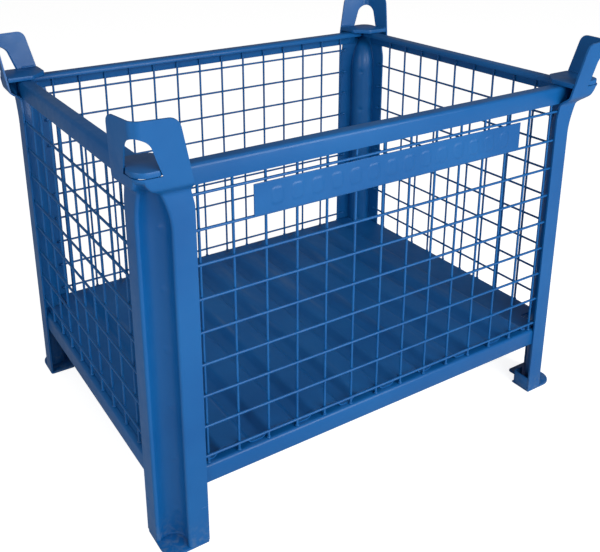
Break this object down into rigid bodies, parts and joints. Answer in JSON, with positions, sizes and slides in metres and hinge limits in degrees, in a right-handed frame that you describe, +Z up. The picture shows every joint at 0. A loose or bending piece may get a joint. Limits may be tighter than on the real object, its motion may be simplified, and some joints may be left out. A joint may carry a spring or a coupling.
{
  "type": "wire mesh container",
  "caption": "Rigid open-top wire mesh container on stacking corner posts with flared ears, folded rails and a corrugated floor.",
  "frame": {"origin": "bottom centre of the container, on the floor under its feet", "axes": "+X along the long side, -Y towards the side with the marking strip, +Z up"},
  "size_m": [0.8534, 0.6534, 0.655],
  "materials": {
    "post_paint": "satin",
    "foot_paint": "satin",
    "seat_paint": "satin",
    "rail_paint": "satin",
    "mesh_paint": "satin",
    "floor_paint": "satin",
    "strip_paint": "satin"
  },
  "bodies": {
    "root": {"corner_post_front_left": "post_paint", "foot_plate_front_left": "foot_paint", "stacking_seat_front_left": "seat_paint", "corner_post_front_right": "post_paint", "foot_plate_front_right": "foot_paint", "stacking_seat_front_right": "seat_paint", "corner_post_rear_right": "post_paint", "foot_plate_rear_right": "foot_paint", "stacking_seat_rear_right": "seat_paint", "corner_post_rear_left": "post_paint", "foot_plate_rear_left": "foot_paint", "stacking_seat_rear_left": "seat_paint", "top_rail_front": "rail_paint", "bottom_rail_front": "rail_paint", "mesh_panel_front": "mesh_paint", "top_rail_right": "rail_paint", "bottom_rail_right": "rail_paint", "mesh_panel_right": "mesh_paint", "top_rail_rear": "rail_paint", "bottom_rail_rear": "rail_paint", "mesh_panel_rear": "mesh_paint", "top_rail_left": "rail_paint", "bottom_rail_left": "rail_paint", "mesh_panel_left": "mesh_paint", "floor_sheet": "floor_paint", "marking_strip": "strip_paint"}
  },
  "joints": []
}
